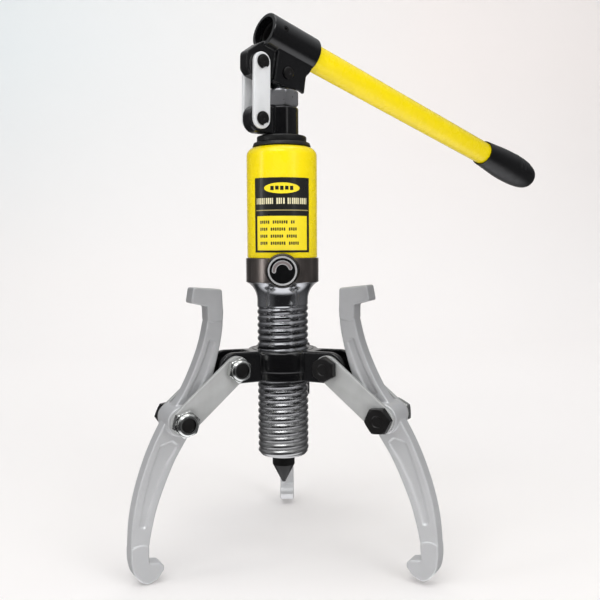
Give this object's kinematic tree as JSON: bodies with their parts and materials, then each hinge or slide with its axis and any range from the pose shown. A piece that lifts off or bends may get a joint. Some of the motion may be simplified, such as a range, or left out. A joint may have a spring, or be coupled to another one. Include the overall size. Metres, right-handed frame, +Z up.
{
  "type": "hydraulic gear puller",
  "caption": "Self-contained hydraulic gear puller with three linked jaws on a screw-on crosshead, centre ram, oil reservoir and swivelling pump handle.",
  "frame": {"origin": "the small flat land on the end of the ram's centre point, ram retracted", "axes": "+Z up along the cylinder towards the pump head, -Y front where the release valve faces, +X right"},
  "size_m": [0.3613, 0.2697, 0.3998],
  "materials": {
    "chrome": "polished",
    "yellow_paint": "gloss",
    "black_paint": "gloss",
    "zinc": "satin",
    "forged": "rough",
    "black_oxide": "satin",
    "steel": "ground",
    "rubber": "matte",
    "label": "satin"
  },
  "bodies": {
    "barrel": {"cylinder_sleeve": "chrome", "ram_guide": "steel", "wiper_seal": "rubber", "reservoir_shell": "yellow_paint", "top_flange": "black_paint", "label": "label"},
    "release_valve": {"release_knob": "black_paint", "knob_ring": "chrome", "valve_stem": "steel"},
    "ram": {"ram_tip": "black_oxide", "ram_rod": "steel", "ram_piston": "steel", "piston_seal": "rubber", "return_spring": "steel"},
    "pump_head": {"swivel_ring": "black_paint", "pump_body": "black_paint", "plunger_seal": "rubber", "gland_nut": "zinc", "lower_link_pin": "black_oxide", "lower_link_clip_front": "black_oxide", "lower_link_clip_rear": "black_oxide"},
    "pump_links": {"pump_link_front": "zinc", "pump_link_rear": "zinc"},
    "handle": {"socket_casting": "black_paint", "upper_link_pin": "black_oxide", "upper_link_clip_front": "black_oxide", "upper_link_clip_rear": "black_oxide", "pivot_bolt": "black_oxide", "set_screw": "black_oxide", "handle_tube": "yellow_paint", "handle_grip": "rubber"},
    "pump_plunger": {"plunger": "steel"},
    "crosshead_bush": {"threaded_bush": "black_paint"},
    "crosshead": {"crosshead": "black_paint"},
    "link_pair_1": {"link_1_a": "zinc", "link_1_b": "zinc", "upper_1_bolt": "black_oxide", "upper_1_nut": "zinc", "lower_1_bolt": "black_oxide", "lower_1_nut": "zinc"},
    "jaw_1_body": {"jaw_1": "forged"},
    "link_pair_2": {"link_2_a": "zinc", "link_2_b": "zinc", "upper_2_bolt": "black_oxide", "upper_2_nut": "zinc", "lower_2_bolt": "black_oxide", "lower_2_nut": "zinc"},
    "jaw_2_body": {"jaw_2": "forged"},
    "link_pair_3": {"link_3_a": "zinc", "link_3_b": "zinc", "upper_3_bolt": "black_oxide", "upper_3_nut": "zinc", "lower_3_bolt": "black_oxide", "lower_3_nut": "zinc"},
    "jaw_3_body": {"jaw_3": "forged"}
  },
  "joints": [
    {"name": "ram_stroke", "type": "slide", "parent": "barrel", "child": "ram", "axis": [0, 0, -1], "range_m": [0, 0.05], "stiffness_N_per_m": 1500, "springref_m": -0.02, "deforming": ["return_spring"]},
    {"name": "release_turn", "type": "hinge", "parent": "barrel", "child": "release_valve", "pos_m": [0, 0, 0.1615], "axis": [0, -1, 0], "range_deg": [0, 360]},
    {"name": "head_swivel", "type": "hinge", "parent": "barrel", "child": "pump_head", "pos_m": [0, 0, 0.257], "axis": [0, 0, 1], "continuous": true},
    {"name": "link_swing", "type": "hinge", "parent": "pump_head", "child": "pump_links", "pos_m": [-0.01836, -0.01434, 0.2692], "axis": [0.6157, -0.788, 0], "range_deg": [-1.95, 0.05]},
    {"name": "handle_pump", "type": "hinge", "parent": "pump_links", "child": "handle", "pos_m": [-0.01781, -0.01391, 0.3089], "axis": [0.6157, -0.788, 0], "range_deg": [0, 36]},
    {"name": "plunger_stroke", "type": "slide", "parent": "pump_head", "child": "pump_plunger", "axis": [0, 0, 1], "range_m": [-0.0001, 0.0137]},
    {"name": "bush_travel", "type": "slide", "parent": "barrel", "child": "crosshead_bush", "axis": [0, 0, 1], "range_m": [-0.0401, 0.0301]},
    {"name": "crosshead_spin", "type": "hinge", "parent": "crosshead_bush", "child": "crosshead", "pos_m": [0, 0, 0.0915], "axis": [0, 0, 1], "range_deg": [-2880, 2160]},
    {"name": "link_1_swing", "type": "hinge", "parent": "crosshead", "child": "link_pair_1", "pos_m": [0.00117, 0.04458, 0.0919], "axis": [0.9997, -0.0262, 0], "range_deg": [-28, 8]},
    {"name": "jaw_1_tilt", "type": "hinge", "parent": "link_pair_1", "child": "jaw_1_body", "pos_m": [0.00224, 0.08562, 0.05901], "axis": [0.9997, -0.0262, 0], "range_deg": [-8, 3]},
    {"name": "link_2_swing", "type": "hinge", "parent": "crosshead", "child": "link_pair_2", "pos_m": [-0.0392, -0.02128, 0.0919], "axis": [-0.4772, 0.8788, 0], "range_deg": [-28, 8]},
    {"name": "jaw_2_tilt", "type": "hinge", "parent": "link_pair_2", "child": "jaw_2_body", "pos_m": [-0.07466, -0.04054, 0.05816], "axis": [-0.4772, 0.8788, 0], "range_deg": [-8, 3]},
    {"name": "link_3_swing", "type": "hinge", "parent": "crosshead", "child": "link_pair_3", "pos_m": [0.03803, -0.0233, 0.0919], "axis": [-0.5225, -0.8526, 0], "range_deg": [-28, 8]},
    {"name": "jaw_3_tilt", "type": "hinge", "parent": "link_pair_3", "child": "jaw_3_body", "pos_m": [0.07356, -0.04508, 0.05981], "axis": [-0.5225, -0.8526, 0], "range_deg": [-8, 3]}
  ],
  "couplings": [
    {"joint": "link_swing", "follows": "handle_pump", "ratio": -0.0525},
    {"joint": "plunger_stroke", "follows": "handle_pump", "m_per_rad": 0.0215},
    {"joint": "bush_travel", "follows": "crosshead_spin", "m_per_rad": 0.00079577}
  ]
}
